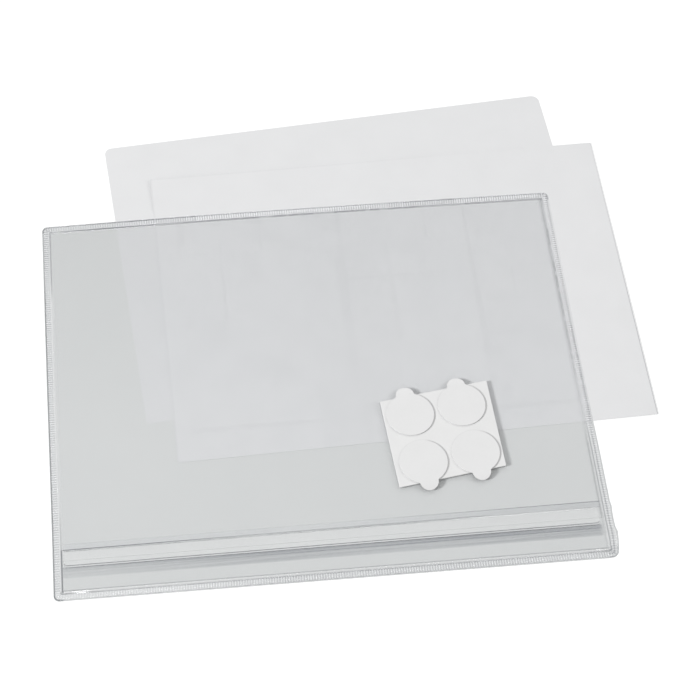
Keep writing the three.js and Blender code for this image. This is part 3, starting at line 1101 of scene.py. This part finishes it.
# %% Weld ribs tree
def rib_tree():
    tree = bpy.data.node_groups.new("weld_ribs", "GeometryNodeTree")
    sockets = tree.interface
    for name in ("Width", "Depth", "Corner", "Pitch", "Length", "Thickness", "Height", "Level"):
        sockets.new_socket(name, in_out="INPUT", socket_type="NodeSocketFloat")
    sockets.new_socket("Material", in_out="INPUT", socket_type="NodeSocketMaterial")
    sockets.new_socket("Geometry", in_out="OUTPUT", socket_type="NodeSocketGeometry")
    takes = tree.nodes.new("NodeGroupInput").outputs
    gives = tree.nodes.new("NodeGroupOutput").inputs

    def node(kind, source=None, **values):
        """The first output of a new node, which takes the source at its first input."""
        made = add(tree, kind, **values)
        if source is not None:
            wire(tree, source, made.inputs[0])
        return made.outputs[0]

    # The path that the ribs follow
    frame_line = node(
        "GeometryNodeCurvePrimitiveQuadrilateral", Width=takes["Width"], Height=takes["Depth"]
    )
    path = node(
        "GeometryNodeFilletCurve", frame_line, mode="POLY", Count=6, Radius=takes["Corner"]
    )
    spots = add(
        tree, "GeometryNodeCurveToPoints", mode="LENGTH", Curve=path, Length=takes["Pitch"]
    ).outputs

    # One rib: half an oval, filled and pushed out to a closed bar
    arc = node(
        "GeometryNodeCurveArc", mode="RADIUS", Resolution=7, Radius=1.0, Sweep_Angle=math.pi
    )
    half = product(tree, takes["Thickness"], 0.5)
    oval = node("ShaderNodeCombineXYZ", X=half, Y=takes["Height"], Z=1.0)
    shaped = node("GeometryNodeTransform", arc, Scale=oval)
    fill = node("GeometryNodeFillCurve", node("GeometryNodeSetSplineCyclic", shaped, Cyclic=True))
    out = node("ShaderNodeCombineXYZ", Z=takes["Length"])
    push = node("GeometryNodeExtrudeMesh", fill, mode="FACES", Individual=False, Offset=out)
    bar = add(tree, "GeometryNodeJoinGeometry")
    wire(tree, push, bar.inputs[0])
    wire(tree, node("GeometryNodeFlipFaces", fill), bar.inputs[0])
    shut = node("GeometryNodeMergeByDistance", bar.outputs[0], Distance=1e-6)
    middle = node("ShaderNodeCombineXYZ", Y=product(tree, takes["Length"], 0.5))
    laid = node(
        "GeometryNodeTransform", shut, Translation=middle, Rotation=(math.pi / 2, 0, 0)
    )

    # A rib on every point, turned across the path and lifted onto the band
    across = node(
        "FunctionNodeAlignRotationToVector", axis="X", pivot_axis="Z", Vector=spots["Tangent"]
    )
    ribs = node("GeometryNodeInstanceOnPoints", spots["Points"], Instance=laid, Rotation=across)
    up = node("ShaderNodeCombineXYZ", Z=takes["Level"])
    raised = node("GeometryNodeTransform", ribs, Translation=up)
    real = node("GeometryNodeRealizeInstances", raised)
    coat = node("GeometryNodeSetMaterial", real, Material=takes["Material"])
    wire(tree, coat, gives["Geometry"])
    return tree


def bake_tree(name, tree, **values):
    """Run a tree once with its inputs set and keep the result as a plain mesh object."""
    holder = bpy.data.objects.new(name + "_holder", bpy.data.meshes.new(name + "_holder"))
    bpy.context.collection.objects.link(holder)
    modifier = holder.modifiers.new("nodes", "NODES")
    modifier.node_group = tree
    ids = {
        item.name: item.identifier
        for item in tree.interface.items_tree
        if item.item_type == "SOCKET" and item.in_out == "INPUT"
    }
    for label, value in values.items():
        modifier[ids[label]] = value
    depsgraph = bpy.context.evaluated_depsgraph_get()
    mesh = bpy.data.meshes.new_from_object(holder.evaluated_get(depsgraph))
    bpy.data.objects.remove(holder)
    mesh.name = name
    made = bpy.data.objects.new(name, mesh)
    bpy.context.collection.objects.link(made)
    return made


RIB_PITCH = 1.577
RIB_FROM = 1.0
RIB_TO = BAND_END
RIB_THICKNESS = 0.95
RIB_HEIGHT = 0.17
RIB_SINK = 0.01
FLAT_SHARE = 0.3
rib_line = (RIB_FROM + RIB_TO) / 2
ribs = bake_tree(
    "edge_weld_ribs", rib_tree(),
    Width=2 * (HALF_X - rib_line) * MM, Depth=2 * (HALF_Y - rib_line) * MM,
    Corner=(CORNER_RADIUS - rib_line) * MM, Pitch=RIB_PITCH * MM,
    Length=(RIB_TO - RIB_FROM) * MM,
    Thickness=RIB_THICKNESS * MM, Height=RIB_HEIGHT * MM,
    Level=(BASE + PLATE_TOP - RIB_SINK) * MM, Material=rib_vinyl,
)
from_cut = [
    min(HALF_X - abs(corner.co.x) / MM, HALF_Y - abs(corner.co.y) / MM)
    for corner in ribs.data.vertices
]
# The ribs of the right side are pressed nearly flat, and all of them settle with the band.
plate = (BASE + PLATE_TOP) * MM
for corner in ribs.data.vertices:
    if corner.co.x > (HALF_X - WELD) * MM and corner.co.z > plate:
        corner.co.z = plate + (corner.co.z - plate) * FLAT_SHARE
    x, y = settle(corner.co.x / MM, corner.co.y / MM)
    corner.co.x, corner.co.y = x * MM, y * MM
ribs.data.attributes.new("across", "FLOAT", "POINT").data.foreach_set("value", from_cut)
ribs.data.polygons.foreach_set("use_smooth", [True] * len(ribs.data.polygons))
ribs.data.set_sharp_from_angle(angle=math.radians(WELD_SHARP))
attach(ribs, "pocket")
print("rib faces:", len(ribs.data.polygons), "box", [round(v / MM, 1) for v in ribs.dimensions])

# %% [markdown]
# ## Flap
# A strip of the same film is joined to the front film along a narrow weld, just behind the
# mouth. The rest of the strip is free, and it springs up towards its edge. The joined band and
# the free strip are two closed sheets. The free one curves upwards, and its lift changes a
# little along its length, as a cut strip of soft film does. It is thin at its root, where it
# bends, so that it can fold back without cutting into the joined band. That band runs on a
# little past the flap's right end, and is pressed down along the hinge.

# %% Flap and its weld
HINGE_Y = flap_high.y
FLAP_THICKNESS = 0.25
ROOT_THICKNESS = 0.13
FLAP_SPRING = 0.95
FLAP_CORNER = 1.5
BAND_REACH = 2.6
# The pressed line in the band: its depth, and its place and width as shares of the band's width
DENT_DEPTH = 0.1
DENT_PLACE = 0.14
DENT_WIDTH = 0.07


def flap_top(u, v):
    x = flap_low.x + u * (flap_high.x - flap_low.x)
    from_end = min(x - flap_low.x, flap_high.x - x)
    cut = 0.0
    if from_end < FLAP_CORNER:
        cut = FLAP_CORNER - math.sqrt(max(FLAP_CORNER**2 - (FLAP_CORNER - from_end) ** 2, 0.0))
    depth = flap_high.y - flap_low.y - cut
    y = HINGE_Y - depth * v
    uneven = 0.93 + 0.05 * math.sin(x / 47.0 + 0.6) + 0.02 * math.sin(x / 17.0)
    free_lift = flap_high.z - flap_low.z - FLAP_THICKNESS
    run = v * depth / (flap_high.y - flap_low.y)
    spring = FLAP_SPRING * run + (1 - FLAP_SPRING) * run * run
    if v == 0:
        return *settle(x, y), flap_low.z + ROOT_THICKNESS
    return *settle(x, y), flap_low.z + FLAP_THICKNESS + free_lift * uneven * spring


flap_piece = closed_sheet(
    "flap_strip", 220, 16, flap_top, FLAP_THICKNESS, flap_vinyl,
    depth=flap_high.y - flap_low.y, first_row=ROOT_THICKNESS,
)
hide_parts("flap")
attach(flap_piece, "flap")


def joint_top(u, v):
    x = joint_low.x + u * (joint_high.x + BAND_REACH - joint_low.x)
    y = joint_low.y + v * (joint_high.y - joint_low.y)
    return x, y, joint_high.z - DENT_DEPTH * math.exp(-(((v - DENT_PLACE) / DENT_WIDTH) ** 2))


flap_joint = closed_sheet(
    "flap_weld_band", 120, 24, joint_top, joint_high.z - joint_low.z, joint_vinyl,
    depth=joint_high.y - joint_low.y,
)
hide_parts("flap_weld")
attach(flap_joint, "pocket")
print("flap", round(flap_high.x - flap_low.x, 1), "mm long")

# %% [markdown]
# ## Card of pads
# The pads come on a small white card, cut slightly out of square. Each pad is a disc of foam
# with adhesive on both faces, and a paper liner with a tab covers it. The card is a slab with
# softened edges, and a faint ring of painted shade greys it round the foot of each pad.
# The foam discs are a little hollow at the side, and each liner is one thin sheet that narrows
# from the disc into its tab. The tabs droop a little past the disc.

# %% Card, pads and liners
CARD_SIZE = (68.0, 59.6)
CARD_TURNS = (7.6, 4.1)
CARD_TRIMS = ((0.5, 0.0), (-0.9, 0.0), (0.0, 0.3), (-0.2, 0.0))
PAD_RADIUS = 14.55
PAD_SHIFT = -0.5
TAB_HALF = 5.7
TAB_REACH = 19.3
PAD_TURN = 6.9
TAB_DROOP = 0.8
CARD_CORNER = 0.5
SOFT_EDGE = 0.08
# The painted shade ring's inner and outer flank, as distances from a pad's middle in metres
RING_INNER = (0.0144, 0.0149)
RING_OUTER = (0.0157, 0.0152)
RING_SHADE = 0.06
LEAST_HALF = 0.25
# How far the foam's side lies inside the disc, with the height over its lower face
FOAM_HOLLOW = ((0.05, 0.0), (0.14, 0.15), (0.16, 0.3))

card_low, card_high = span("pad_card")
card_middle = (card_low + card_high) / 2


def pad_middle(i):
    low, high = span(f"adhesive_pad_{i}")
    return (low + high) / 2 + Vector((0, PAD_SHIFT, 0))


def pad_shade_ring(tree, middle):
    """A mask of the ring of painted shade on the card round the foot of a pad."""
    centred = add(
        tree, "ShaderNodeMapping", Vector=object_place(tree),
        Location=(-middle.x * MM, -middle.y * MM, 0.0), Scale=(1.0, 1.0, 0.0),
    )
    away = add(tree, "ShaderNodeVectorMath", operation="LENGTH", Vector=centred.outputs[0])
    distance = away.outputs["Value"]
    return product(
        tree, step(tree, distance, *RING_INNER), step(tree, distance, *RING_OUTER)
    )


# Painted shade: a faint grey ring on the card round the foot of each pad.
rings = 0.0
for i in range(1, 5):
    rings = combine(board_tree, "MAXIMUM", rings, pad_shade_ring(board_tree, pad_middle(i)))
mix_over(board_tree, board_shader, product(board_tree, rings, RING_SHADE), DARK)


def card_outline():
    corners = []
    for (right, up), trim in zip(((-1, -1), (1, -1), (1, 1), (-1, 1)), CARD_TRIMS):
        rx, ry = turn(right * CARD_SIZE[0] / 2, 0, CARD_TURNS[0])
        cx, cy = turn(0, up * CARD_SIZE[1] / 2, CARD_TURNS[1])
        corners.append(Vector((card_middle.x + rx + cx, card_middle.y + ry + cy)) + Vector(trim))
    outline = []
    for i, corner in enumerate(corners):
        before = (corners[i - 1] - corner).normalized()
        after = (corners[(i + 1) % 4] - corner).normalized()
        for part in range(5):
            t = part / 4
            spot = corner + before * CARD_CORNER * (1 - t) ** 2 + after * CARD_CORNER * t**2
            outline.append((spot.x, spot.y))
    return outline


card = stacked_slab(
    "pad_card_board", card_outline(),
    [
        (SOFT_EDGE, card_low.z), (0, card_low.z + SOFT_EDGE),
        (0, card_high.z - SOFT_EDGE), (SOFT_EDGE, card_high.z),
    ],
    pad_board,
)
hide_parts("pad_card")
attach(card, "pad_card")


def circle(cx, cy, radius, count=72):
    angles = [2 * math.pi / count * i for i in range(count)]
    return [(cx + radius * math.cos(a), cy + radius * math.sin(a)) for a in angles]


def liner_top(cx, cy, height, degrees):
    """The upper face of a liner: rows from the far side of the disc to the end of the tab."""
    meet = math.sqrt(PAD_RADIUS**2 - TAB_HALF**2)
    straight = TAB_REACH - TAB_HALF

    def half_width(y):
        if y < meet:
            return math.sqrt(max(PAD_RADIUS**2 - y * y, 0.0))
        if y < straight:
            return TAB_HALF
        return math.sqrt(max(TAB_HALF**2 - (y - straight) ** 2, 0.0))

    def top(u, v):
        y = (TAB_REACH - PAD_RADIUS) / 2 - (TAB_REACH + PAD_RADIUS) / 2 * math.cos(math.pi * v)
        w = max(half_width(y), LEAST_HALF)
        past = max(y - PAD_RADIUS, 0.0) / (TAB_REACH - PAD_RADIUS)
        x, y = turn(math.sin((u - 0.5) * math.pi) * w, y, degrees)
        return cx + x, cy + y, height - TAB_DROOP * past * past

    return top


for i in range(1, 5):
    low, high = span(f"adhesive_pad_{i}")
    middle = pad_middle(i)
    pad = stacked_slab(
        f"adhesive_pad_{i}_foam", circle(middle.x, middle.y, PAD_RADIUS),
        [(inset, low.z + up) for inset, up in FOAM_HOLLOW] + [(FOAM_HOLLOW[0][0], high.z)],
        white_foam,
    )
    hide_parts(f"adhesive_pad_{i}")
    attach(pad, f"adhesive_pad_{i}")
    low, high = span(f"pad_liner_{i}")
    degrees = PAD_TURN + (0 if i < 3 else 180)
    liner = closed_sheet(
        f"pad_liner_{i}_paper", 28, 60, liner_top(middle.x, middle.y, high.z, degrees),
        high.z - low.z, release_paper,
    )
    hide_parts(f"pad_liner_{i}")
    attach(liner, f"pad_liner_{i}")
print("card, four pads and four liners")
